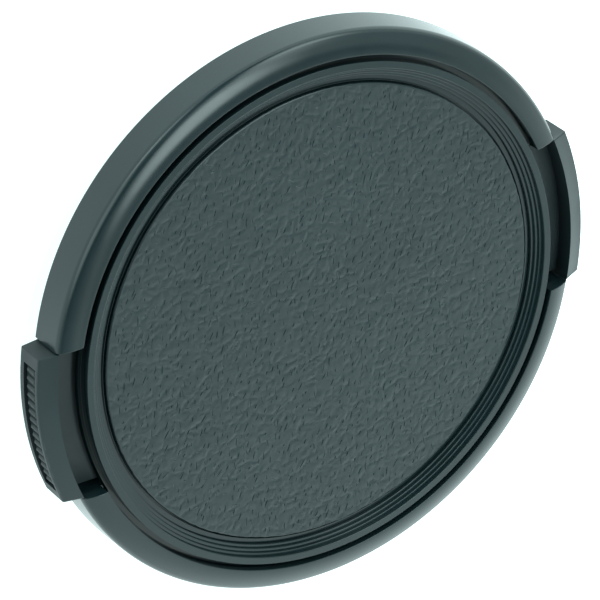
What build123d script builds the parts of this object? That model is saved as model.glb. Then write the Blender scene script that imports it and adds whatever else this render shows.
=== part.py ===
import os
from math import atan2, cos, hypot, radians, sin, tan

from build123d import *

# Side-pinch lens cap, lying on its back: front face up (+Z), pinch pads on +X and -X.
# The origin is the centre of the rear face of the boss. All sizes are in millimetres.

# ---- heights above the rear face of the boss
rim_z = 2.08  # rear face of the ring, which meets the front of the filter ring
recess_z = 0.9  # rear face of the floor, inside the boss
seat_z = 5.3  # ledge that carries the front plate
field_z = 5.94  # top of the grained field
top_z = 6.78  # margin of the front plate, and inner edge of the ring

# ---- ring and boss (radii)
ring_r = 30.45  # at the foot of the outer wall
wall_draft = 2.0  # degrees, the wall leans in towards the top
ring_in_r = 27.8
boss_r = 28.2  # slips inside a 58 mm filter thread
boss_in_r = 26.6
cavity_r = 26.1
crown_r = 29.80  # outer end of the ring's gently domed top
crown_z = 6.36
lip_round = 0.06  # inner edge of the top
rim_round = 0.12  # foot of the wall
core_in_r, core_out_r, core_top_z = 28.8, 29.6, 5.0  # coring groove in the ring's rear
core_clear_y = 10.5  # the groove stops short of the windows

# ---- windows for the sliders
window_y = 8.42  # half width
window_edge = 0.055  # softened edge of the ring at each end of a window
corner_r = 0.22  # round of the outer wall into each end of a window
window_x = 24.6  # inner limit
slot_y = 6.9  # rear slot for the jaw, half width
slot_x = 23.6

# ---- front plate
plate_r = 27.12  # raised margin
flange_r, flange_z = 27.68, 5.8  # flange that drops into the ring
plate_spigot_r, plate_spigot_in_r, plate_spigot_z = 26.0, 24.2, 4.3
plate_under_z = 4.75
field_r = 24.61
gap_r, gap_z = 24.76, 5.10  # narrow gap round the field
groove_z = 5.45
step_r = (26.37, 26.04, 25.70, 25.36)  # walls, from the margin inwards
step_z = (6.39, 6.12, 5.83)  # treads between them
plate_edge = 0.1
notch_r, notch_y, notch_z = 25.45, 8.05, 4.97  # relief in the spigot for the sliders' shelves

# ---- sliders
travel = 1.6
pad_r = 31.93
pad_y = 8.31  # half width of the pad
pad_inner_top_r, pad_inner_top_z = 30.05, 6.235
pad_inner_r = 29.95
pad_slope_end_z = 5.50  # height at which the sloped top would meet the pad face
pad_round = 0.3
pad_edge = 0.2
tongue_y = 7.75  # half width of the tongue
tongue_z0 = 2.18
tongue_z1 = 4.0
shelf_r, shelf_z = 27.2, 4.80  # the part of the tongue that shows beside the plate
shelf_drop = 0.48  # its floor falls towards the pad
bar_x0, bar_x1, bar_y, bar_z = 18.6, 20.5, 9.2, 4.55  # inner bar with the stop ears
pocket_r, pocket_y, pocket_z0, pocket_z1 = 31.55, 7.04, 2.89, 5.09
rib_count, rib_pitch_deg = 15, 1.655
rib_r, rib_centre_r, rib_len, rib_tip = 0.32, 31.48, 1.3, 0.22
jaw_deg = 13.2  # half angle of the jaw
jaw_in_r, jaw_base_r, jaw_crest_r = 26.4, 28.45, 28.9
jaw_z0 = 0.25
thread_pitch = 0.75

# ---- guides, stops and springs inside the body
guide_y0, guide_y1, guide_x, guide_z = 7.9, 9.3, 20.65, 4.2
post_x0, post_x1, post_y, post_z = 7.6, 9.0, 6.5, 4.6
stop_x0, stop_x1, stop_y, stop_z = 15.3, 16.85, 2.2, 4.0
spring_y, spring_z = 4.5, 3.45
spring_mean_r, wire_r = 0.94, 0.16
spring_gap = 0.03
spring_turns = 8
peg_r, peg_len = 0.55, 1.2

os.makedirs("parts", exist_ok=True)


def turned_plane(angle):
    """The XZ half plane turned about Z, its first axis pointing outwards."""
    a = radians(angle)
    return Plane(origin=(0, 0, 0), x_dir=(cos(a), sin(a), 0), z_dir=(sin(a), -cos(a), 0))


# ---- the domed top of the ring, and the round that runs from it into the outer wall
dome_a = (ring_in_r + lip_round, top_z)
dome_b = (crown_r, crown_z)
chord = hypot(dome_b[0] - dome_a[0], dome_b[1] - dome_a[1])
chord_drop = atan2(dome_a[1] - dome_b[1], dome_b[0] - dome_a[0])
crown_rise = chord / 2 * tan(chord_drop / 2)  # level at its inner edge
dome_mid = (
    (dome_a[0] + dome_b[0]) / 2 + crown_rise * sin(chord_drop),
    (dome_a[1] + dome_b[1]) / 2 + crown_rise * cos(chord_drop),
)
end_drop = 2 * chord_drop  # slope where the dome ends
draft = radians(wall_draft)
wall_foot = (ring_r, rim_z + rim_round)
shoulder_r = ((ring_r - crown_r) * cos(draft) - (crown_z - wall_foot[1]) * sin(draft)) / (1 - sin(end_drop + draft))
shoulder_centre = (crown_r - shoulder_r * sin(end_drop), crown_z - shoulder_r * cos(end_drop))
wall_top = (shoulder_centre[0] + shoulder_r * cos(draft), shoulder_centre[1] + shoulder_r * sin(draft))
half_turn = (end_drop + radians(90) - draft) / 2
shoulder_mid = (
    shoulder_centre[0] + shoulder_r * sin(half_turn),
    shoulder_centre[1] + shoulder_r * cos(half_turn),
)
k = 1 - sin(radians(45))  # how far a round's middle stays back from its corner

# ---- body: ring, floor, boss, seat, guides and spring posts in one moulding
with BuildPart() as body:
    with BuildSketch(Plane.XZ):
        with BuildLine():
            Polyline(
                (0, recess_z),
                (boss_in_r, recess_z),
                (boss_in_r, 0),
                (boss_r - 0.2, 0),
                (boss_r, 0.2),
                (boss_r, rim_z),
                (ring_r - rim_round, rim_z),
            )
            ThreePointArc(
                (ring_r - rim_round, rim_z),
                (ring_r - rim_round * k, rim_z + rim_round * k),
                (ring_r, rim_z + rim_round),
            )
            Line(wall_foot, wall_top)
            ThreePointArc(wall_top, shoulder_mid, dome_b)
            ThreePointArc(dome_b, dome_mid, dome_a)
            ThreePointArc(
                dome_a,
                (ring_in_r + lip_round * k, top_z - lip_round * k),
                (ring_in_r, top_z - lip_round),
            )
            Polyline(
                (ring_in_r, top_z - lip_round),
                (ring_in_r, seat_z),
                (cavity_r, seat_z),
                (cavity_r, rim_z),
                (0, rim_z),
                (0, recess_z),
            )
        make_face()
    revolve(axis=Axis.Z)
    # coring groove in the rear of the ring, stopped short of the windows
    with BuildSketch(Plane.XY.offset(rim_z)):
        Circle(core_out_r)
        Circle(core_in_r, mode=Mode.SUBTRACT)
        Rectangle(2.4 * ring_r, 2 * core_clear_y, mode=Mode.SUBTRACT)
    extrude(amount=core_top_z - rim_z, mode=Mode.SUBTRACT)
    # windows for the sliders, and the rear slots for their jaws
    for side in (1, -1):
        with Locations((side * (window_x + 4), 0, rim_z + 3)):
            Box(8, 2 * window_y, 6, mode=Mode.SUBTRACT)
        with Locations((side * (slot_x + 4), 0, rim_z / 2)):
            Box(8, 2 * slot_y, rim_z + 0.4, mode=Mode.SUBTRACT)
    # softened edges of the ring where a window cuts it
    fillet(
        edges().filter_by(
            lambda e: abs(abs((e @ 0).Y) - window_y) < 0.001
            and abs(abs((e @ 1).Y) - window_y) < 0.001
            and abs(abs((e @ 0.5).Y) - window_y) < 0.001
            and hypot((e @ 0.5).X, (e @ 0.5).Y) > ring_in_r - 0.02
            and (e @ 0.5).Z > rim_z - 0.01
        ),
        radius=window_edge,
    )
    # rounder corner where the outer wall turns into the window
    corner = (((ring_r - corner_r) ** 2 - (window_y + corner_r) ** 2) ** 0.5, window_y + corner_r)
    corner_end = corner[1] * ring_r / (ring_r - corner_r)
    for side in (1, -1):
        for end in (1, -1):
            with BuildSketch(Plane.XY.offset(rim_z - 0.1)):
                with Locations((side * (corner[0] + 0.5), end * (window_y - 0.2 + corner_end) / 2)):
                    Rectangle(1, corner_end - window_y + 0.2)
                with Locations((side * corner[0], end * corner[1])):
                    Circle(corner_r, mode=Mode.SUBTRACT)
            extrude(amount=top_z - rim_z + 0.2, mode=Mode.SUBTRACT)
    # guide rails: the ears of the sliders stop against their inner ends
    for side in (1, -1):
        for end in (1, -1):
            with Locations(
                (side * (guide_x + window_x) / 2, end * (guide_y0 + guide_y1) / 2, (rim_z + guide_z) / 2)
            ):
                Box(window_x - guide_x, guide_y1 - guide_y0, guide_z - rim_z)
        # wall that the springs push against, with a peg for each spring
        with Locations((side * (post_x0 + post_x1) / 2, 0, (rim_z + post_z) / 2)):
            Box(post_x1 - post_x0, 2 * post_y, post_z - rim_z)
        with Locations(
            (side * (post_x1 + peg_len / 2), spring_y, spring_z),
            (side * (post_x1 + peg_len / 2), -spring_y, spring_z),
        ):
            Cylinder(peg_r, peg_len, rotation=(0, 90, 0))
        # stop for a slider pushed right in
        with Locations((side * (stop_x0 + stop_x1) / 2, 0, (rim_z + stop_z) / 2)):
            Box(stop_x1 - stop_x0, 2 * stop_y, stop_z - rim_z)
body.part.label = "body"

# ---- front plate: flange, margin, four steps, groove, and raised field with a narrow gap round it
with BuildPart() as front_plate:
    with BuildSketch(Plane.XZ):
        with BuildLine():
            Polyline(
                (0, plate_under_z),
                (plate_spigot_in_r, plate_under_z),
                (plate_spigot_in_r, plate_spigot_z),
                (plate_spigot_r, plate_spigot_z),
                (plate_spigot_r, seat_z),
                (flange_r, seat_z),
                (flange_r, flange_z),
                (plate_r, flange_z),
                (plate_r, top_z - plate_edge),
                (plate_r - plate_edge, top_z),
                (step_r[0], top_z),
                (step_r[0], step_z[0]),
                (step_r[1], step_z[0]),
                (step_r[1], step_z[1]),
                (step_r[2], step_z[1]),
                (step_r[2], step_z[2]),
                (step_r[3], step_z[2]),
                (step_r[3], groove_z),
                (gap_r, groove_z),
                (gap_r, gap_z),
                (field_r, gap_z),
                (field_r, field_z),
                (0, field_z),
                (0, plate_under_z),
            )
        make_face()
    revolve(axis=Axis.Z)
    # the spigot is cut back where the sliders pass
    with BuildSketch(Plane.XY.offset(plate_spigot_z)):
        Rectangle(2.4 * plate_r, 2 * notch_y)
        Circle(notch_r, mode=Mode.SUBTRACT)
    extrude(amount=notch_z - plate_spigot_z, mode=Mode.SUBTRACT)
front_plate.part.label = "front_plate"

# ---- slider: pad, tongue, bar with ears, and jaw in one moulding
slope = atan2(pad_inner_top_z - pad_slope_end_z, pad_r - pad_inner_top_r)
round_back = pad_round * (1 - sin(slope)) / cos(slope)  # corner to tangent point
round_centre = (pad_r - pad_round, pad_slope_end_z - round_back)
round_top = (
    round_centre[0] + pad_round * sin(slope),
    round_centre[1] + pad_round * cos(slope),
)
round_half = (slope + radians(90)) / 2
round_mid = (
    round_centre[0] + pad_round * sin(round_half),
    round_centre[1] + pad_round * cos(round_half),
)
# the tongue's shelf beside the plate, its floor falling towards the pad
with BuildPart() as shelf:
    with BuildSketch(Plane.XZ):
        with BuildLine():
            Polyline(
                (shelf_r, tongue_z0),
                (pad_inner_r + 0.04, tongue_z0),
                (pad_inner_r + 0.04, shelf_z - shelf_drop),
                (shelf_r, shelf_z),
                (shelf_r, tongue_z0),
            )
        make_face()
    revolve(axis=Axis.Z)
    with Locations((pad_r, 0, tongue_z0 + 2)):
        Box(20, 2 * tongue_y, 8, mode=Mode.INTERSECT)

with BuildPart() as slider_right:
    with BuildSketch(Plane.XZ):
        with BuildLine():
            Polyline(
                (pad_inner_r, shelf_z - shelf_drop - 0.1),
                (pad_inner_r, rim_z),
                (pad_r - pad_edge, rim_z),
            )
            ThreePointArc(
                (pad_r - pad_edge, rim_z),
                (pad_r - pad_edge * k, rim_z + pad_edge * k),
                (pad_r, rim_z + pad_edge),
            )
            Line((pad_r, rim_z + pad_edge), (pad_r, round_centre[1]))
            ThreePointArc((pad_r, round_centre[1]), round_mid, round_top)
            Polyline(
                round_top,
                (pad_inner_top_r, pad_inner_top_z),
                (pad_inner_r, shelf_z - shelf_drop - 0.1),
            )
        make_face()
    revolve(axis=Axis.Z)
    with Locations((pad_r, 0, rim_z + 2.5)):
        Box(10, 2 * pad_y, 8, mode=Mode.INTERSECT)
    # softened edges at the two ends of the pad
    fillet(
        faces().filter_by(Axis.Y).edges().filter_by(
            lambda e: (e @ 0.5).X > pad_inner_r * 0.967 and (e @ 0.5).Z > rim_z + 0.02
        ),
        radius=0.12,
    )
    # pocket in the pad face
    with BuildSketch(Plane.XY.offset(pocket_z0)):
        Circle(pad_r + 2)
        Circle(pocket_r, mode=Mode.SUBTRACT)
        with Locations((pad_r, 0)):
            Rectangle(20, 2 * pocket_y, mode=Mode.INTERSECT)
    extrude(amount=pocket_z1 - pocket_z0, mode=Mode.SUBTRACT)
    # grip ribs standing in the pocket, with tapered ends
    rib_mid_z = (pocket_z0 + pocket_z1) / 2
    span = rib_pitch_deg * (rib_count - 1)
    with PolarLocations(rib_centre_r, rib_count, start_angle=-span / 2, angular_range=span, endpoint=True):
        with Locations((0, 0, rib_mid_z)):
            Cylinder(rib_r, rib_len)
        with Locations((0, 0, rib_mid_z + rib_len / 2 + rib_tip / 2)):
            Cone(rib_r, rib_r * 0.5, rib_tip)
        with Locations((0, 0, rib_mid_z - rib_len / 2 - rib_tip / 2)):
            Cone(rib_r * 0.5, rib_r, rib_tip)
    # tongue under the edge of the front plate
    with BuildSketch(Plane.XY.offset(tongue_z0)):
        with Locations(((bar_x0 + pad_r) / 2, 0)):
            Rectangle(pad_r - bar_x0, 2 * tongue_y)
        Circle(pad_inner_r + 0.1, mode=Mode.INTERSECT)
    extrude(amount=tongue_z1 - tongue_z0)
    add(shelf.part)
    # inner bar with the ears, and the pegs that hold the springs
    with Locations(((bar_x0 + bar_x1) / 2, 0, (tongue_z0 + bar_z) / 2)):
        Box(bar_x1 - bar_x0, 2 * bar_y, bar_z - tongue_z0)
    with Locations(
        (bar_x0 - peg_len / 2, spring_y, spring_z),
        (bar_x0 - peg_len / 2, -spring_y, spring_z),
    ):
        Cylinder(peg_r, peg_len, rotation=(0, 90, 0))
    # jaw with two thread ridges, reaching out through the rear slot
    with BuildSketch(turned_plane(-jaw_deg)):
        with BuildLine():
            Polyline(
                (jaw_in_r, tongue_z0 + 0.3),
                (jaw_in_r, jaw_z0),
                (jaw_base_r, jaw_z0),
                (jaw_crest_r, jaw_z0 + 0.33),
                (jaw_crest_r, jaw_z0 + 0.42),
                (jaw_base_r, jaw_z0 + thread_pitch),
                (jaw_crest_r, jaw_z0 + thread_pitch + 0.33),
                (jaw_crest_r, jaw_z0 + thread_pitch + 0.42),
                (jaw_base_r, jaw_z0 + 2 * thread_pitch),
                (jaw_base_r, tongue_z0 + 0.3),
                (jaw_in_r, tongue_z0 + 0.3),
            )
        make_face()
    revolve(axis=Axis.Z, revolution_arc=2 * jaw_deg)
slider_right.part.label = "slider_right"

with BuildPart() as slider_left:
    add(slider_right.part, rotation=(0, 0, 180))
slider_left.part.label = "slider_left"

# ---- coil springs, from the wall in the body to the bar of each slider
coil_len = bar_x0 - post_x1 - 2 * spring_gap - 2 * wire_r
coil_pitch = coil_len / spring_turns
coil_start = post_x1 + spring_gap + wire_r

with BuildPart() as spring_right_a:
    with BuildLine() as coil_ra:
        Helix(coil_pitch, coil_len, spring_mean_r, center=(coil_start, spring_y, spring_z), direction=(1, 0, 0))
    with BuildSketch(Plane(origin=coil_ra.line @ 0, z_dir=coil_ra.line % 0)):
        Circle(wire_r)
    sweep(path=coil_ra.line, is_frenet=True)
spring_right_a.part.label = "spring_right_a"

with BuildPart() as spring_right_b:
    with BuildLine() as coil_rb:
        Helix(coil_pitch, coil_len, spring_mean_r, center=(coil_start, -spring_y, spring_z), direction=(1, 0, 0))
    with BuildSketch(Plane(origin=coil_rb.line @ 0, z_dir=coil_rb.line % 0)):
        Circle(wire_r)
    sweep(path=coil_rb.line, is_frenet=True)
spring_right_b.part.label = "spring_right_b"

with BuildPart() as spring_left_a:
    add(spring_right_a.part, rotation=(0, 0, 180))
spring_left_a.part.label = "spring_left_a"

with BuildPart() as spring_left_b:
    add(spring_right_b.part, rotation=(0, 0, 180))
spring_left_b.part.label = "spring_left_b"

# ---- one file for each piece
export_step(body.part, "parts/body.step")
export_step(front_plate.part, "parts/front_plate.step")
export_step(slider_right.part, "parts/slider_right.step")
export_step(slider_left.part, "parts/slider_left.step")
export_step(spring_right_a.part, "parts/spring_right_a.step")
export_step(spring_right_b.part, "parts/spring_right_b.step")
export_step(spring_left_a.part, "parts/spring_left_a.step")
export_step(spring_left_b.part, "parts/spring_left_b.step")
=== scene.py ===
import math

import bmesh
import bpy
import numpy as np
from mathutils import Matrix, Vector
from mathutils.geometry import delaunay_2d_cdt
from mathutils.kdtree import KDTree


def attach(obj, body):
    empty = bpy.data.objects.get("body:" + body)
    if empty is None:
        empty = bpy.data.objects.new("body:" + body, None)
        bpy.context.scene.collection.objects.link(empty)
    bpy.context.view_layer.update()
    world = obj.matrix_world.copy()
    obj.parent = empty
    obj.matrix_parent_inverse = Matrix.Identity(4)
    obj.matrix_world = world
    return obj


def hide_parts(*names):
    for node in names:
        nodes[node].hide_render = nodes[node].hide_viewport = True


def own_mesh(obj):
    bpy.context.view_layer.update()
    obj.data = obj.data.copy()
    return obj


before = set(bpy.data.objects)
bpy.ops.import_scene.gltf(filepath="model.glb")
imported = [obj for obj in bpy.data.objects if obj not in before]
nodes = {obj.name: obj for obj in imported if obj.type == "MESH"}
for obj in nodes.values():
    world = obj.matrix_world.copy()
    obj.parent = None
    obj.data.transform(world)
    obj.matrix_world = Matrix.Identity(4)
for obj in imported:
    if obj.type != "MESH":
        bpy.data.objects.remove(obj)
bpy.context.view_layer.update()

scene = bpy.context.scene
MM = 0.001
TAU = 2.0 * math.pi


# ------------------------------------------------------------------ materials
def new_material(name):
    m = bpy.data.materials.new(name)
    m.use_nodes = True
    nt = m.node_tree
    nt.nodes.clear()
    out = nt.nodes.new("ShaderNodeOutputMaterial")
    b = nt.nodes.new("ShaderNodeBsdfPrincipled")
    nt.links.new(b.outputs["BSDF"], out.inputs["Surface"])
    return m, nt, b


def coords(nt):
    return nt.nodes.new("ShaderNodeTexCoord").outputs["Object"]


def noise(nt, vec, scale, detail=3.0, rough=0.5, distortion=0.0):
    n = nt.nodes.new("ShaderNodeTexNoise")
    n.inputs["Scale"].default_value = scale
    n.inputs["Detail"].default_value = detail
    n.inputs["Roughness"].default_value = rough
    n.inputs["Distortion"].default_value = distortion
    nt.links.new(vec, n.inputs["Vector"])
    return n.outputs["Fac"]


def span(nt, val, lo, hi, a=0.3, b=0.7):
    n = nt.nodes.new("ShaderNodeMapRange")
    n.inputs["From Min"].default_value = a
    n.inputs["From Max"].default_value = b
    n.inputs["To Min"].default_value = lo
    n.inputs["To Max"].default_value = hi
    nt.links.new(val, n.inputs["Value"])
    return n.outputs["Result"]


def two_tone(nt, fac, c0, c1, p0=0.3, p1=0.7):
    r = nt.nodes.new("ShaderNodeValToRGB")
    e = r.color_ramp.elements
    e[0].position, e[1].position = p0, p1
    e[0].color = (*c0, 1)
    e[1].color = (*c1, 1)
    nt.links.new(fac, r.inputs["Fac"])
    return r.outputs["Color"]


def bump(nt, height, strength, distance, normal=None):
    n = nt.nodes.new("ShaderNodeBump")
    n.inputs["Strength"].default_value = strength
    n.inputs["Distance"].default_value = distance
    nt.links.new(height, n.inputs["Height"])
    if normal is not None:
        nt.links.new(normal, n.inputs["Normal"])
    return n.outputs["Normal"]


def moulded(name, dark, light, rough_lo, rough_hi, fine, coarse):
    """Black moulded plastic: faint colour drift, uneven gloss, a fine mould texture and slow sink ripples."""
    m, nt, b = new_material(name)
    v = coords(nt)
    drift = noise(nt, v, 90.0, 4.0, 0.55)
    nt.links.new(two_tone(nt, drift, dark, light), b.inputs["Base Color"])
    smear = noise(nt, v, 260.0, 5.0, 0.6, 0.4)
    nt.links.new(span(nt, smear, rough_lo, rough_hi), b.inputs["Roughness"])
    b.inputs["IOR"].default_value = 1.5
    n1 = bump(nt, noise(nt, v, 2600.0, 3.0, 0.6), fine, 0.00003)
    n2 = bump(nt, noise(nt, v, 160.0, 2.0, 0.5), coarse, 0.0002, n1)
    nt.links.new(n2, b.inputs["Normal"])
    return m


def slider_material():
    """The sliders' plastic, with shade painted into its colour: darker down in the recess beside the plate."""
    m = moulded("slider_plastic_look", (0.0060, 0.0150, 0.0170), (0.0084, 0.0190, 0.0215), 0.30, 0.38, 0.06, 0.04)
    nt = m.node_tree
    b = next(n for n in nt.nodes if n.type == "BSDF_PRINCIPLED")
    sep = nt.nodes.new("ShaderNodeSeparateXYZ")
    nt.links.new(coords(nt), sep.inputs["Vector"])
    # painted shade: the base colour is multiplied down toward the bottom of the slider, where the recess lies in
    # shade
    mul = nt.nodes.new("ShaderNodeVectorMath")
    mul.operation = "MULTIPLY"
    nt.links.new(b.inputs["Base Color"].links[0].from_socket, mul.inputs[0])
    nt.links.new(span(nt, sep.outputs["Z"], 0.75, 1.0, 0.0050, 0.0060), mul.inputs[1])
    nt.links.new(mul.outputs["Vector"], b.inputs["Base Color"])
    dull = nt.nodes.new("ShaderNodeMath")  # and less polished there
    dull.operation = "MULTIPLY"
    nt.links.new(b.inputs["Roughness"].links[0].from_socket, dull.inputs[0])
    nt.links.new(span(nt, sep.outputs["Z"], 1.6, 1.0, 0.0053, 0.0060), dull.inputs[1])
    nt.links.new(dull.outputs[0], b.inputs["Roughness"])
    return m


def plate_material():
    m, nt, b = new_material("plate_plastic_look")
    v = coords(nt)
    drift = noise(nt, v, 70.0, 5.0, 0.6)
    tone = two_tone(nt, drift, (0.0068, 0.0162, 0.0182), (0.0092, 0.0200, 0.0225))
    smear = noise(nt, v, 420.0, 4.0, 0.6)
    flat = nt.nodes.new("ShaderNodeVectorMath")
    flat.operation = "MULTIPLY"
    nt.links.new(v, flat.inputs[0])
    flat.inputs[1].default_value = (1, 1, 0)
    out = nt.nodes.new("ShaderNodeVectorMath")
    out.operation = "LENGTH"
    nt.links.new(flat.outputs["Vector"], out.inputs[0])
    smooth = nt.nodes.new("ShaderNodeMath")  # the turned border is glossier than the grained field
    smooth.operation = "MULTIPLY"
    nt.links.new(span(nt, smear, 0.27, 0.34), smooth.inputs[0])
    nt.links.new(span(nt, out.outputs["Value"], 1.0, 0.50, 0.0244, 0.0247), smooth.inputs[1])
    nt.links.new(smooth.outputs[0], b.inputs["Roughness"])
    sep = nt.nodes.new("ShaderNodeSeparateXYZ")
    nt.links.new(v, sep.inputs["Vector"])
    depth = nt.nodes.new("ShaderNodeMath")  # painted shade: the colour darkens down the margin's outer wall and the foot below it
    depth.operation = "MAXIMUM"
    nt.links.new(span(nt, sep.outputs["Z"], 0.40, 1.0, 0.0064, 0.0067), depth.inputs[0])
    nt.links.new(span(nt, out.outputs["Value"], 1.0, 0.0, 0.02700, 0.02710), depth.inputs[1])
    shade = nt.nodes.new("ShaderNodeVectorMath")
    shade.operation = "MULTIPLY"
    nt.links.new(tone, shade.inputs[0])
    nt.links.new(depth.outputs[0], shade.inputs[1])
    nt.links.new(shade.outputs["Vector"], b.inputs["Base Color"])
    b.inputs["IOR"].default_value = 1.5
    n1 = bump(nt, noise(nt, v, 3200.0, 4.0, 0.65), 0.12, 0.00003)
    n2 = bump(nt, noise(nt, v, 900.0, 2.0, 0.5), 0.10, 0.00005, n1)
    nt.links.new(n2, b.inputs["Normal"])
    return m


def steel_material():
    m, nt, b = new_material("spring_steel_look")
    v = coords(nt)
    drift = noise(nt, v, 500.0, 4.0, 0.6)
    nt.links.new(two_tone(nt, drift, (0.50, 0.51, 0.52), (0.64, 0.65, 0.66)), b.inputs["Base Color"])
    b.inputs["Metallic"].default_value = 1.0
    nt.links.new(span(nt, noise(nt, v, 1800.0, 3.0), 0.22, 0.38), b.inputs["Roughness"])
    nt.links.new(bump(nt, noise(nt, v, 4000.0, 2.0), 0.15, 0.00001), b.inputs["Normal"])
    return m


ring_mat = moulded("ring_plastic_look", (0.0060, 0.0150, 0.0170), (0.0080, 0.0185, 0.0210), 0.15, 0.21, 0.04, 0.04)
slider_mat = slider_material()
plate_mat = plate_material()
steel_mat = steel_material()


def paint(node, mat):
    me = nodes[node].data
    me.materials.clear()
    me.materials.append(mat)


for n, mat in (("body", ring_mat), ("slider_left", slider_mat), ("slider_right", slider_mat)):
    paint(n, mat)
for n in ("front_plate", "spring_left_a", "spring_left_b", "spring_right_a", "spring_right_b"):
    paint(n, plate_mat if n == "front_plate" else steel_mat)


# ------------------------------------------------------------------ body: the same mesh with a finer, smoother ring
RING_R, RING_IN, TOP_Z, RIM_Z, FOOT, LIP = 30.45, 27.80, 6.78, 2.08, 0.12, 0.06
CROWN = (29.80, 6.36)
DRAFT = math.radians(2.0)
SEAT_Z = 5.30


def ring_pieces():
    """The turned surfaces of the ring as lines and arcs of (radius, height), in millimetres."""
    a = (RING_IN + LIP, TOP_Z)
    drop = math.atan2(a[1] - CROWN[1], CROWN[0] - a[0])
    end = 2 * drop
    crown_r = math.hypot(CROWN[0] - a[0], CROWN[1] - a[1]) / (2 * math.sin(drop))
    foot_z = RIM_Z + FOOT
    sh = ((RING_R - CROWN[0]) * math.cos(DRAFT) - (CROWN[1] - foot_z) * math.sin(DRAFT)) / (1 - math.sin(end + DRAFT))
    c = (CROWN[0] - sh * math.sin(end), CROWN[1] - sh * math.cos(end))
    top = (c[0] + sh * math.cos(DRAFT), c[1] + sh * math.sin(DRAFT))
    half = math.pi / 2
    return (
        ("arc", (RING_R - FOOT, foot_z), FOOT, -half, 0.0, 1),
        ("line", (RING_R, foot_z), top, (math.cos(DRAFT), math.sin(DRAFT))),
        ("arc", c, sh, DRAFT, half - end, 1),
        ("arc", (a[0], TOP_Z - crown_r), crown_r, half - end, half, 1),
        ("arc", (a[0], TOP_Z - LIP), LIP, half, math.pi, 1),
        ("line", (RING_IN, TOP_Z - LIP), (RING_IN, SEAT_Z), (-1.0, 0.0)),
    )


def along(piece, r, z, tol=0.002):
    """How far along a piece of the profile each point lies (0 to 1), or nan off the piece."""
    if piece[0] == "line":
        a, b = np.array(piece[1]), np.array(piece[2])
        d = b - a
        size = np.linalg.norm(d)
        u = ((r - a[0]) * d[0] + (z - a[1]) * d[1]) / size**2
        off = np.abs((r - a[0]) * d[1] - (z - a[1]) * d[0]) / size
        slack = tol / size
    else:
        c, rad, a0, a1 = piece[1], piece[2], piece[3], piece[4]
        ang = np.arctan2(z - c[1], r - c[0])
        u = ((ang - a0 + math.pi) % TAU - math.pi) / (a1 - a0)
        off = np.abs(np.hypot(r - c[0], z - c[1]) - rad)
        slack = tol / (rad * abs(a1 - a0))
    on = (off < tol) & (u > -slack) & (u < 1 + slack)
    return np.where(on, u, np.nan)


def place(piece, u):
    """Point and outward normal of a piece at u."""
    if piece[0] == "line":
        a, b = piece[1], piece[2]
        return a[0] + (b[0] - a[0]) * u, a[1] + (b[1] - a[1]) * u, piece[3][0], piece[3][1]
    c, rad, a0, a1 = piece[1], piece[2], piece[3], piece[4]
    ang = a0 + (a1 - a0) * u
    return c[0] + rad * math.cos(ang), c[1] + rad * math.sin(ang), math.cos(ang), math.sin(ang)


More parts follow.
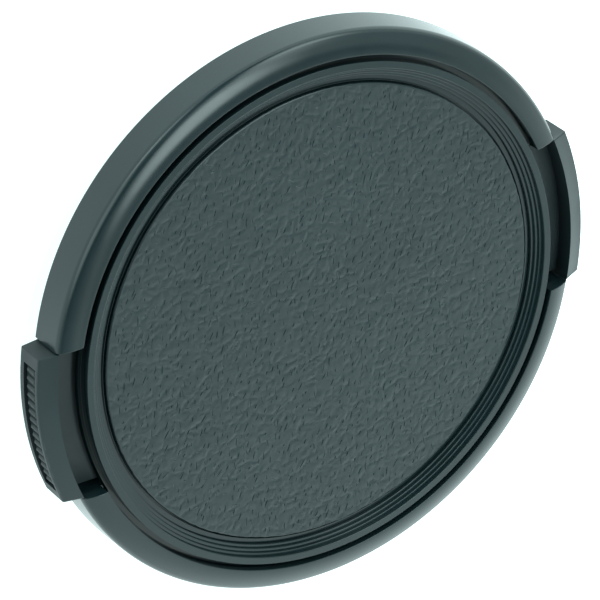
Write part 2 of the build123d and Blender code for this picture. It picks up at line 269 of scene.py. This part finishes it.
def refine(me, pieces, step_deg, name):
    """A copy of a mesh whose turned faces are split until they are fine, and put on the exact surface."""
    count = len(me.vertices)
    co = np.empty(count * 3)
    me.vertices.foreach_get("co", co)
    co = co.reshape(-1, 3) / MM
    key, back = np.unique(np.round(co * 1e4).astype(np.int64), axis=0, return_inverse=True)
    back = back.reshape(-1)
    verts = np.zeros((len(key), 3))
    verts[back] = co
    me.calc_loop_triangles()
    tris = np.array([t.vertices[:] for t in me.loop_triangles])
    loops = np.array([t.loops[:] for t in me.loop_triangles])
    ln = np.empty(len(me.loops) * 3)
    me.corner_normals.foreach_get("vector", ln)
    corner = ln.reshape(-1, 3)[loops]
    tris = back[tris]
    good = (tris[:, 0] != tris[:, 1]) & (tris[:, 1] != tris[:, 2]) & (tris[:, 0] != tris[:, 2])
    tris, corner = tris[good], corner[good]
    rr, zz = np.hypot(verts[:, 0], verts[:, 1]), verts[:, 2]
    us = [along(p, rr, zz) for p in pieces]
    p0, p1, p2 = (verts[tris[:, k]] for k in range(3))
    fn = np.cross(p1 - p0, p2 - p0)
    fn /= np.maximum(np.linalg.norm(fn, axis=1, keepdims=True), 1e-12)
    mid = (p0 + p1 + p2) / 3
    mr = np.hypot(mid[:, 0], mid[:, 1])
    owner = np.full(len(tris), -1)
    for k, piece in enumerate(pieces):
        u = us[k][tris]
        on = ~np.isnan(u).any(axis=1)
        for f in np.where(on & (owner < 0))[0]:
            _, _, nr, nz = place(piece, float(np.clip(u[f].mean(), 0, 1)))
            n = np.array((nr * mid[f, 0] / mr[f], nr * mid[f, 1] / mr[f], nz))
            if n @ fn[f] > 0.85:
                owner[f] = k
    verts = [tuple(v) for v in verts]
    faces = [(tuple(t), tuple(map(tuple, c)), int(o)) for t, c, o in zip(tris.tolist(), corner.tolist(), owner)]
    ulist = [u.tolist() for u in us]
    step = math.radians(step_deg)

    def wide(a, b):
        d = math.atan2(verts[b][1], verts[b][0]) - math.atan2(verts[a][1], verts[a][0])
        return abs((d + math.pi) % TAU - math.pi)

    for _ in range(6):
        split = {}
        for t, _c, o in faces:
            if o < 0:
                continue
            arc = pieces[o][0] == "arc"
            for a, b in ((t[0], t[1]), (t[1], t[2]), (t[2], t[0])):
                e = (a, b) if a < b else (b, a)
                if e in split:
                    continue
                far = wide(a, b) > step
                if arc and not far:
                    span_u = abs(ulist[o][a] - ulist[o][b]) * abs(pieces[o][4] - pieces[o][3])
                    far = span_u > math.radians(12.0)
                if not far:
                    continue
                pa = math.atan2(verts[a][1], verts[a][0])
                d = (math.atan2(verts[b][1], verts[b][0]) - pa + math.pi) % TAU - math.pi
                phi = pa + d / 2
                u = (ulist[o][a] + ulist[o][b]) / 2
                r, z, _nr, _nz = place(pieces[o], u)
                split[e] = len(verts)
                verts.append((r * math.cos(phi), r * math.sin(phi), z))
                for k in range(len(pieces)):
                    ulist[k].append(float(along(pieces[k], np.array(r), np.array(z))))
        if not split:
            break
        fresh = []
        for t, c, o in faces:
            m = [split.get((t[k], t[(k + 1) % 3]) if t[k] < t[(k + 1) % 3] else (t[(k + 1) % 3], t[k])) for k in range(3)]
            n = sum(x is not None for x in m)
            if n == 0:
                fresh.append((t, c, o))
                continue
            cm = [tuple((c[k][q] + c[(k + 1) % 3][q]) / 2 for q in range(3)) for k in range(3)]
            if n == 3:
                fresh += [
                    ((t[0], m[0], m[2]), (c[0], cm[0], cm[2]), o),
                    ((m[0], t[1], m[1]), (cm[0], c[1], cm[1]), o),
                    ((m[2], m[1], t[2]), (cm[2], cm[1], c[2]), o),
                    ((m[0], m[1], m[2]), (cm[0], cm[1], cm[2]), o),
                ]
            elif n == 1:
                k = next(i for i in range(3) if m[i] is not None)
                i, j, l = k, (k + 1) % 3, (k + 2) % 3
                fresh += [
                    ((t[i], m[k], t[l]), (c[i], cm[k], c[l]), o),
                    ((m[k], t[j], t[l]), (cm[k], c[j], c[l]), o),
                ]
            else:
                k = next(i for i in range(3) if m[i] is None)  # the edge that stays whole
                i, j, l = k, (k + 1) % 3, (k + 2) % 3
                fresh += [
                    ((m[j], t[l], m[l]), (cm[j], c[l], cm[l]), o),
                    ((t[i], t[j], m[j]), (c[i], c[j], cm[j]), o),
                    ((t[i], m[j], m[l]), (c[i], cm[j], cm[l]), o),
                ]
        faces = fresh
    normals = []
    for t, c, o in faces:
        for k in range(3):
            if o < 0:
                n = Vector(c[k])
            else:
                v = verts[t[k]]
                _r, _z, nr, nz = place(pieces[o], min(1.0, max(0.0, ulist[o][t[k]])))
                q = math.hypot(v[0], v[1])
                n = Vector((nr * v[0] / q, nr * v[1] / q, nz))
            normals.append(n.normalized()[:])
    verts = np.clip(np.array(verts), co.min(axis=0), co.max(axis=0))  # no wider than the node itself
    out = bpy.data.meshes.new(name)
    out.from_pydata((verts * MM).tolist(), [], [t for t, _c, _o in faces])
    out.polygons.foreach_set("use_smooth", [True] * len(faces))
    out.normals_split_custom_set(normals)
    out.update()
    return out


body_me = refine(nodes["body"].data, ring_pieces(), 1.2, "body_look")
body_me.materials.append(ring_mat)
body_look = bpy.data.objects.new("body_look", body_me)
scene.collection.objects.link(body_look)
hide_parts("body")
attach(body_look, "cap")


# ------------------------------------------------------------------ front plate: turned border and grained field
def noise_grid(seed, cell, reach=30.0):
    """Smooth seeded noise on a square lattice, as a function of x and y in millimetres."""
    rng = np.random.default_rng(seed)
    n = int(2 * reach / cell) + 4
    g = rng.uniform(-1.0, 1.0, (n, n))

    def f(x, y):
        u, v = (x + reach) / cell + 1.0, (y + reach) / cell + 1.0
        i, j = np.floor(u).astype(int), np.floor(v).astype(int)
        a, b = u - i, v - j
        a, b = a * a * a * (a * (a * 6 - 15) + 10), b * b * b * (b * (b * 6 - 15) + 10)
        return (
            g[i, j] * (1 - a) * (1 - b)
            + g[i + 1, j] * a * (1 - b)
            + g[i, j + 1] * (1 - a) * b
            + g[i + 1, j + 1] * a * b
        )

    return f


def cell_edges(seed, cell, reach=30.0, jitter=0.85):
    """Distance from a point to the nearest edge of a seeded, jittered cell pattern, in millimetres."""
    rng = np.random.default_rng(seed)
    n = int(2 * reach / cell) + 8
    off = 0.5 + jitter * (rng.random((n, n, 2)) - 0.5)

    def f(x, y):
        u, v = (x + reach) / cell + 4.0, (y + reach) / cell + 4.0
        i, j = np.floor(u).astype(int), np.floor(v).astype(int)
        best = np.full(x.shape, 1e9)
        px, py = np.zeros_like(u), np.zeros_like(u)
        for di in (-1, 0, 1):
            for dj in (-1, 0, 1):
                qx, qy = i + di + off[i + di, j + dj, 0], j + dj + off[i + di, j + dj, 1]
                d = (qx - u) ** 2 + (qy - v) ** 2
                near = d < best
                best, px, py = np.where(near, d, best), np.where(near, qx, px), np.where(near, qy, py)
        edge = np.full(x.shape, 1e9)
        for di in (-2, -1, 0, 1, 2):
            for dj in (-2, -1, 0, 1, 2):
                qx, qy = i + di + off[i + di, j + dj, 0], j + dj + off[i + di, j + dj, 1]
                ex, ey = qx - px, qy - py
                length = np.hypot(ex, ey)
                other = length > 1e-6
                d = ((px + qx) / 2 - u) * ex + ((py + qy) / 2 - v) * ey
                d = np.where(other, d / np.where(other, length, 1.0), 1e9)
                edge = np.minimum(edge, d)
        return edge * cell

    return f


warp_x, warp_y = noise_grid(11, 1.9), noise_grid(12, 1.9)
warp_x2, warp_y2 = noise_grid(13, 0.7), noise_grid(14, 0.7)
pebbles, wrinkles = cell_edges(21, 1.15), cell_edges(22, 0.80)
fold_1, fold_2 = noise_grid(31, 0.9), noise_grid(32, 0.75)
swell_1, swell_2 = noise_grid(41, 1.15), noise_grid(42, 0.55)


def ease(t):
    t = np.clip(t, 0.0, 1.0)
    return t * t * (3 - 2 * t)


def warped(x, y):
    wx = x + 0.42 * warp_x(x, y) + 0.10 * warp_x2(x, y)
    wy = y + 0.42 * warp_y(x, y) + 0.10 * warp_y2(x, y)
    return wx, wy


def grain(x, y):
    """Height of the moulded leather grain in millimetres: uneven pebbles parted by soft folds that come and go."""
    wx, wy = warped(x, y)
    d1, d2 = pebbles(wx, wy), wrinkles(wx, wy)
    deep = ease((fold_1(x, y) + 0.55) / 0.9)
    fine = ease((fold_2(x, y) + 0.35) / 0.8)
    h = 0.0055 * swell_1(x, y) + 0.0070 * swell_2(x, y) - 0.0085 * np.exp(-((d1 / 0.36) ** 2))
    h = h - 0.0150 * deep * np.exp(-((d1 / 0.18) ** 2))
    return h - 0.0104 * fine * np.exp(-((d2 / 0.16) ** 2))


FIELD_Z, FIELD_R, RINGS = 5.955, 24.38, 132
SEG = RINGS * 2  # three points of the field's last ring to each segment of the border


def creases():
    """Short, narrow creases strewn over the field, none touching another: the path and the depth of each."""
    rng = np.random.default_rng(51)
    cell, out, taken = 0.90, [], {}
    n = int(FIELD_R / cell) + 1
    for i in range(-n, n + 1):
        for j in range(-n, n + 1):
            ox, oy, pick, turn, size, bend, deep = rng.random(7).tolist()
            x, y = (i + 0.8 * (ox - 0.5)) * cell, (j + 0.8 * (oy - 0.5)) * cell
            way = math.radians(72 + 50 * (turn - 0.5)) if pick < 0.86 else math.pi * turn
            length = 0.42 + 0.85 * size * size
            path = []
            for k in range(5):
                u = k / 4 - 0.5
                a = way + 0.9 * (bend - 0.5) * u
                path.append((x + u * length * math.cos(a), y + u * length * math.sin(a)))
            near = [
                q
                for px, py in path
                for di in (-1, 0, 1)
                for dj in (-1, 0, 1)
                for q in taken.get((int(px // 0.3) + di, int(py // 0.3) + dj), ())
                if math.hypot(px - q[0], py - q[1]) < 0.24
            ]
            if near or max(math.hypot(px, py) for px, py in path) > FIELD_R - 0.3:
                continue
            for q in path:
                taken.setdefault((int(q[0] // 0.3), int(q[1] // 0.3)), []).append(q)
            out.append((path, 0.032 + 0.016 * deep))
    return out


def rounded(points):
    """Points (r, z, radius) of a profile, with each corner turned into an arc; returns r, z and outward normal."""
    out = []
    count = len(points)
    for k, (r, z, rad) in enumerate(points):
        p = np.array((r, z))
        if rad <= 0 or k in (0, count - 1):
            out.append((p, None))
            continue
        a = np.array(points[k - 1][:2]) - p
        b = np.array(points[k + 1][:2]) - p
        a, b = a / np.linalg.norm(a), b / np.linalg.norm(b)
        half = math.acos(max(-1.0, min(1.0, float(a @ b)))) / 2
        cut = rad / math.tan(half)
        mid = (a + b) / np.linalg.norm(a + b)
        c = p + mid * (rad / math.sin(half))
        p0, p1 = p + a * cut, p + b * cut
        a0, a1 = math.atan2(*(p0 - c)[::-1]), math.atan2(*(p1 - c)[::-1])
        turn = (a1 - a0 + math.pi) % TAU - math.pi
        # the profile runs with the material on its right hand, so a right turn is a convex corner
        convex = turn < 0
        steps = 1 if rad < 0.015 else (2 if rad < 0.06 else (4 if rad < 0.2 else 8))
        for s in range(steps + 1):
            ang = a0 + turn * s / steps
            n = np.array((math.cos(ang), math.sin(ang)))
            out.append((c + n * rad, n if convex else -n))
    return out


EDGE, NOOK = 0.07, 0.008
WIDTH = 0.068  # half the width of a crease
profile = rounded(
    [
        (FIELD_R, 5.955, 0.0),
        (24.61, 5.955, 0.21),
        (24.61, 5.10, NOOK),
        (24.77, 5.10, NOOK),
        (24.77, 5.64, 0.006),
        (24.81, 5.64, 0.006),
        (24.81, 5.45, NOOK),
        (25.315, 5.45, NOOK),
        (25.315, 5.30, NOOK),
        (25.36, 5.30, NOOK),
        (25.36, 5.83, EDGE),
        (25.68, 5.83, 0.006),
        (25.68, 5.75, 0.006),
        (25.70, 5.75, 0.006),
        (25.70, 6.12, EDGE),
        (26.02, 6.12, 0.006),
        (26.02, 6.04, 0.006),
        (26.04, 6.04, 0.006),
        (26.04, 6.39, EDGE),
        (26.35, 6.39, 0.006),
        (26.35, 6.31, 0.006),
        (26.37, 6.31, 0.006),
        (26.37, 6.78, EDGE),
        (27.12, 6.78, 0.035),
        (27.12, 5.80, 0.03),
        (27.68, 5.80, 0.02),
        (27.68, 5.30, NOOK),
        (25.38, 5.30, NOOK),
        (25.38, 4.30, 0.12),
        (24.20, 4.30, 0.12),
        (24.20, 4.75, NOOK),
        (18.00, 4.75, 0.0),
    ]
)


def build_plate():
    pos, nor, faces = [], [], []
    # grained field: rings of 6, 12, 18 ... points
    eps = 0.02

    def field(x, y):
        z = FIELD_Z - 0.016 + grain(x, y)
        gx = (grain(x + eps, y) - grain(x - eps, y)) / (2 * eps)
        gy = (grain(x, y + eps) - grain(x, y - eps)) / (2 * eps)
        n = np.stack([-gx, -gy, np.ones_like(gx)], -1)
        return z, n / np.linalg.norm(n, axis=1, keepdims=True)

    pts = [(0.0, 0.0)]
    for i in range(1, RINGS + 1):
        a = np.arange(6 * i) * (TAU / (6 * i))
        pts += list(zip((FIELD_R * i / RINGS * np.cos(a)).tolist(), (FIELD_R * i / RINGS * np.sin(a)).tolist()))
    count = 6 * RINGS
    inner = len(pts) - count
    tree = KDTree(inner)
    for i in range(inner):
        tree.insert((*pts[i], 0.0), i)
    tree.balance()
    cut, extra, sink, edges = set(), [], [], []
    for path, depth in creases():
        first = len(extra)
        for k in range(5):
            x, y = path[k]
            for step in (0.0, 0.5):
                if k + step <= 4:
                    q = path[min(k + 1, 4)]
                    mid = (x + step * (q[0] - x), y + step * (q[1] - y), 0.0)
                    cut.update(hit[1] for hit in tree.find_range(mid, 0.11))
            if k in (0, 4):
                extra.append((x, y))
                sink.append(0.0)
                continue
            dx, dy = path[k + 1][0] - path[k - 1][0], path[k + 1][1] - path[k - 1][1]
            w = WIDTH / math.hypot(dx, dy)
            extra += [(x - dy * w, y + dx * w), (x, y), (x + dy * w, y - dx * w)]
            sink += [0.0, depth, 0.0]
        for lane in range(3):
            run = [first] + [first + 1 + 3 * k + lane for k in range(3)] + [first + 10]
            edges += list(zip(run[:-1], run[1:]))
    keep = [pts[i] for i in range(inner) if i not in cut]
    base = len(keep)
    rim = base + len(extra)
    flat = keep + extra + pts[inner:]
    edges = [(base + i, base + j) for i, j in edges] + [(rim + k, rim + (k + 1) % count) for k in range(count)]
    vs, _e, tris, origin, _oe, _of = delaunay_2d_cdt([Vector(q) for q in flat], edges, [], 0, 1e-7, True)
    deep = np.zeros(len(vs))
    ring = [0] * count
    for k, ids in enumerate(origin):
        for i in ids:
            if i >= rim:
                ring[i - rim] = k
            elif i >= base:
                deep[k] = max(deep[k], sink[i - base])
    x, y = np.array([v[0] for v in vs]), np.array([v[1] for v in vs])
    z, n = field(x, y)
    pos.append(np.stack([x, y, z - deep], -1))
    nor.append(n)
    total = len(vs)
    for t in tris:
        (ax, ay), (bx, by), (cx, cy) = (vs[i] for i in t)
        faces.append(tuple(t) if (bx - ax) * (cy - ay) - (by - ay) * (cx - ax) > 0 else tuple(t[::-1]))
    # turned border, its first round carrying the grain over the edge
    ang = np.arange(SEG) * (TAU / SEG)
    ca, sa = np.cos(ang), np.sin(ang)
    rows = []
    prof = profile[1:]
    for k, ((r, zz), nn) in enumerate(prof):
        if nn is None:
            nn = np.array((0.0, -1.0))
        rows.append(total)
        zk, rk = np.full(SEG, zz), np.full(SEG, r)
        nk = np.stack([nn[0] * ca, nn[0] * sa, np.full(SEG, nn[1])], -1)
        if zz > 5.40 and r < 24.65:  # the edge of the field is as uneven as its grain
            share = min(1.0, (zz - 5.40) / 0.52)
            zk = zk + share * (grain(r * ca, r * sa) - 0.016)
            rk = rk + share * 0.035 * swell_2(24.6 * ca, 24.6 * sa)
        if r > 27.10 and 5.5 < zz < 6.0:  # the plate's foot lies lower beside the sliders
            beside = np.abs(27.4 * sa) < 9.00
            rk, zk = np.where(beside, np.minimum(rk, 27.45), rk), np.where(beside, zk - 0.35, zk)
        pos.append(np.stack([rk * ca, rk * sa, zk], -1))
        nor.append(nk)
        total += SEG
    for j in range(SEG):
        a0, a1, a2, a3 = (ring[(3 * j + q) % count] for q in range(4))
        b0, b1 = rows[0] + j, rows[0] + (j + 1) % SEG
        faces += [(a0, b0, a1), (a1, b0, b1), (a1, b1, a2), (a2, b1, a3)]
    for k in range(len(rows) - 1):
        for j in range(SEG):
            j1 = (j + 1) % SEG
            a0, a1, b0, b1 = rows[k] + j, rows[k] + j1, rows[k + 1] + j, rows[k + 1] + j1
            faces.append((a0, b0, b1, a1))
    # underside
    centre = total
    pos.append(np.array([[0.0, 0.0, 4.75]]))
    nor.append(np.array([[0.0, 0.0, -1.0]]))
    for j in range(SEG):
        faces.append((rows[-1] + j, centre, rows[-1] + (j + 1) % SEG))
    me = bpy.data.meshes.new("front_plate_look")
    me.from_pydata((np.concatenate(pos) * MM).tolist(), [], faces)
    me.polygons.foreach_set("use_smooth", [True] * len(me.polygons))
    me.update()
    # smooth all over but for the walls of the creases, which keep their own slope
    nv, nf = np.concatenate(nor), len(me.polygons)
    index, size, slope = np.empty(len(me.loops), np.int32), np.empty(nf, np.int32), np.empty(nf * 3)
    me.loops.foreach_get("vertex_index", index)
    me.polygons.foreach_get("loop_total", size)
    me.polygons.foreach_get("normal", slope)
    owner = np.repeat(np.arange(nf), size)
    sunk = np.zeros(len(nv), bool)
    sunk[: len(deep)] = deep > 0
    wall = np.zeros(nf, bool)
    np.logical_or.at(wall, owner, sunk[index])
    normals = np.where(wall[owner][:, None], slope.reshape(-1, 3)[owner], nv[index])
    me.normals_split_custom_set(normals.tolist())
    me.update()
    return me


plate_me = build_plate()
plate_me.materials.append(plate_mat)
plate = bpy.data.objects.new("front_plate_look", plate_me)
scene.collection.objects.link(plate)
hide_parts("front_plate")
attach(plate, "cap")


# ------------------------------------------------------------------ springs: closed coils at both ends
def build_spring(name, side, y0, node):
    x0, x1, z0, mean, wire = 9.19, 18.41, 3.45, 0.94, 0.16
    turns, closed, per, around = 9.0, 1.25, 40, 12
    count = int(turns * per) + 1
    u = np.linspace(0.0, turns, count)
    tight = 2 * wire * 1.03
    open_pitch = (x1 - x0 - 2 * closed * tight) / (turns - 2 * closed)
    rate = np.where((u < closed) | (u > turns - closed), tight, open_pitch)
    soft = np.convolve(np.pad(rate, 10, mode="edge"), np.ones(21) / 21, mode="valid")
    x = np.concatenate([[0.0], np.cumsum((soft[1:] + soft[:-1]) / 2 * np.diff(u))])
    x = x0 + x * (x1 - x0) / x[-1]
    a = TAU * u
    path = np.stack([side * x, y0 + mean * np.cos(a), z0 + mean * np.sin(a)], -1)
    tang = np.gradient(path, axis=0)
    tang /= np.linalg.norm(tang, axis=1, keepdims=True)
    out = np.stack([np.zeros(count), np.cos(a), np.sin(a)], -1)
    side_v = np.cross(tang, out)
    side_v /= np.linalg.norm(side_v, axis=1, keepdims=True)
    out = np.cross(side_v, tang)
    verts, faces = [], []
    for i in range(count):
        for k in range(around):
            b = TAU * k / around
            verts.append(path[i] + wire * (math.cos(b) * out[i] + math.sin(b) * side_v[i]))
    for i in range(count - 1):
        for k in range(around):
            k1 = (k + 1) % around
            faces.append((i * around + k, i * around + k1, (i + 1) * around + k1, (i + 1) * around + k))
    faces.append(tuple(range(around))[::-1])
    faces.append(tuple((count - 1) * around + k for k in range(around)))
    me = bpy.data.meshes.new(name)
    me.from_pydata((np.array(verts) * MM).tolist(), [], faces)
    bm = bmesh.new()
    bm.from_mesh(me)
    bmesh.ops.recalc_face_normals(bm, faces=bm.faces)
    bm.to_mesh(me)
    bm.free()
    me.polygons.foreach_set("use_smooth", [len(p.vertices) == 4 for p in me.polygons])
    me.materials.append(steel_mat)
    ob = bpy.data.objects.new(name, me)
    scene.collection.objects.link(ob)
    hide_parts(node)
    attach(ob, "cap")
    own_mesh(ob)
    return ob


for tag, y0 in (("a", 4.5), ("b", -4.5)):
    build_spring("spring_right_%s_look" % tag, 1, y0, "spring_right_" + tag)
    build_spring("spring_left_%s_look" % tag, -1, -y0, "spring_left_" + tag)

# ------------------------------------------------------------------ floor: a pale light table
TINT = (0.825, 1.0, 1.0)
floor_me = bpy.data.meshes.new("floor")
bm = bmesh.new()
bmesh.ops.create_grid(bm, x_segments=2, y_segments=2, size=1.5)
bm.to_mesh(floor_me)
bm.free()
floor = bpy.data.objects.new("floor", floor_me)
scene.collection.objects.link(floor)
fm = bpy.data.materials.new("floor_look")
fm.use_nodes = True
nt = fm.node_tree
fb = nt.nodes["Principled BSDF"]
fb.inputs["Base Color"].default_value = (0.30, 0.30, 0.30, 1)
fb.inputs["Roughness"].default_value = 0.9
fb.inputs["Specular IOR Level"].default_value = 0.0
fb.inputs["Emission Color"].default_value = (*TINT, 1)
where = nt.nodes.new("ShaderNodeSeparateXYZ")
nt.links.new(nt.nodes.new("ShaderNodeTexCoord").outputs["Object"], where.inputs["Vector"])
slant = []
for axis, lo, hi in (("X", 1.10, 1.80), ("Y", 0.15, -0.15)):
    mr = nt.nodes.new("ShaderNodeMapRange")
    mr.interpolation_type = "SMOOTHSTEP"
    mr.inputs["From Min"].default_value, mr.inputs["From Max"].default_value = -0.04, 0.04
    mr.inputs["To Min"].default_value, mr.inputs["To Max"].default_value = lo, hi
    nt.links.new(where.outputs[axis], mr.inputs["Value"])
    slant.append(mr.outputs["Result"])
both = nt.nodes.new("ShaderNodeMath")
nt.links.new(slant[0], both.inputs[0])
nt.links.new(slant[1], both.inputs[1])
nt.links.new(both.outputs[0], fb.inputs["Emission Strength"])
clear = nt.nodes.new("ShaderNodeBsdfTransparent")
mix = nt.nodes.new("ShaderNodeMixShader")
geo = nt.nodes.new("ShaderNodeNewGeometry")
nt.links.new(geo.outputs["Backfacing"], mix.inputs["Fac"])
nt.links.new(fb.outputs["BSDF"], mix.inputs[1])
nt.links.new(clear.outputs["BSDF"], mix.inputs[2])
nt.links.new(mix.outputs["Shader"], nt.nodes["Material Output"].inputs["Surface"])
floor_me.materials.append(fm)

# ------------------------------------------------------------------ light: a white tent with soft panels
world = bpy.data.worlds.new("studio")
scene.world = world
world.use_nodes = True
wt = world.node_tree
wt.nodes.clear()
ray = wt.nodes.new("ShaderNodeTexCoord").outputs["Generated"]


def math_node(op, a, b):
    n = wt.nodes.new("ShaderNodeMath")
    n.operation = op
    for k, v in enumerate((a, b)):
        if isinstance(v, (int, float)):
            n.inputs[k].default_value = v
        else:
            wt.links.new(v, n.inputs[k])
    return n.outputs[0]


def panel(az, el, inner, outer):
    """1 inside a round panel at this azimuth and elevation, fading to 0 at its edge; all in degrees."""
    a, e = math.radians(az), math.radians(el)
    d = wt.nodes.new("ShaderNodeVectorMath")
    d.operation = "DOT_PRODUCT"
    wt.links.new(ray, d.inputs[0])
    d.inputs[1].default_value = (math.cos(e) * math.cos(a), math.cos(e) * math.sin(a), math.sin(e))
    m = wt.nodes.new("ShaderNodeMapRange")
    m.interpolation_type = "SMOOTHSTEP"
    m.inputs["From Min"].default_value = math.cos(math.radians(outer))
    m.inputs["From Max"].default_value = math.cos(math.radians(inner))
    wt.links.new(d.outputs["Value"], m.inputs["Value"])
    return m.outputs["Result"]


BASE = 1.35
GLOW = (  # azimuth, elevation, inner and outer radius, radiance
    (-65, -5, 1, 60, 1.5),
    (10, 80, 4, 17, 5.5),
    (60, 60, 1, 24, 2.5),
    (60, 27, 1, 21, 3.8),
    (115, 4, 1, 23, 3.1),
    (150, 22, 1, 28, 2.1),
)
SHADE = (  # azimuth, elevation, inner and outer radius, share of the light left
    (155, 56, 1, 61, 0.14),
    (89, 13, 17, 29, 0.18),
    (5, 48, 20, 28, 0.68),
    (-38, 60, 6, 18, 0.35),
)
level = BASE
for az, el, r0, r1, keep in SHADE:
    p = panel(az, el, r0, r1)
    level = math_node("MULTIPLY", level, math_node("SUBTRACT", 1.0, math_node("MULTIPLY", p, 1.0 - keep)))
for az, el, r0, r1, power in GLOW:
    level = math_node("ADD", level, math_node("MULTIPLY", panel(az, el, r0, r1), power))
bg = wt.nodes.new("ShaderNodeBackground")
bg.inputs["Color"].default_value = (*TINT, 1)
wt.links.new(level, bg.inputs["Strength"])
plain = wt.nodes.new("ShaderNodeBackground")
plain.inputs["Color"].default_value = (1, 1, 1, 1)
plain.inputs["Strength"].default_value = 1.2
path = wt.nodes.new("ShaderNodeLightPath")
wmix = wt.nodes.new("ShaderNodeMixShader")
wt.links.new(path.outputs["Is Camera Ray"], wmix.inputs["Fac"])
wt.links.new(bg.outputs["Background"], wmix.inputs[1])
wt.links.new(plain.outputs["Background"], wmix.inputs[2])
wout = wt.nodes.new("ShaderNodeOutputWorld")
wt.links.new(wmix.outputs["Shader"], wout.inputs["Surface"])

# ------------------------------------------------------------------ camera
cam_data = bpy.data.cameras.new("camera")
cam = bpy.data.objects.new("camera", cam_data)
scene.collection.objects.link(cam)
scene.camera = cam
cam_data.sensor_width = 36.0
cam_data.sensor_fit = "HORIZONTAL"
ROTVEC = (-2.51209350, 0.353439955, -0.691871505)
TX, TY, DIST, FPX = 0.0883339624, 0.0603295222, 16.0, 248.966623 * 16.0
UNIT = 24.6 * MM
rv = Vector(ROTVEC)
R = Matrix.Rotation(rv.length, 3, rv.normalized())
t = Vector((TX, TY, DIST))
rows = [Vector(R[i]) for i in range(3)]
loc = -(R.transposed() @ t) * UNIT + Vector((0, 0, 5.94 * MM))
axes = Matrix((rows[0], -rows[1], -rows[2])).transposed()
cam.matrix_world = Matrix.Translation(loc) @ axes.to_4x4()
cam_data.lens = FPX / 600.0 * 36.0
cam_data.clip_start, cam_data.clip_end = 0.01, 10.0

scene.view_settings.view_transform = "Standard"
scene.view_settings.look = "None"

bpy.context.view_layer.update()
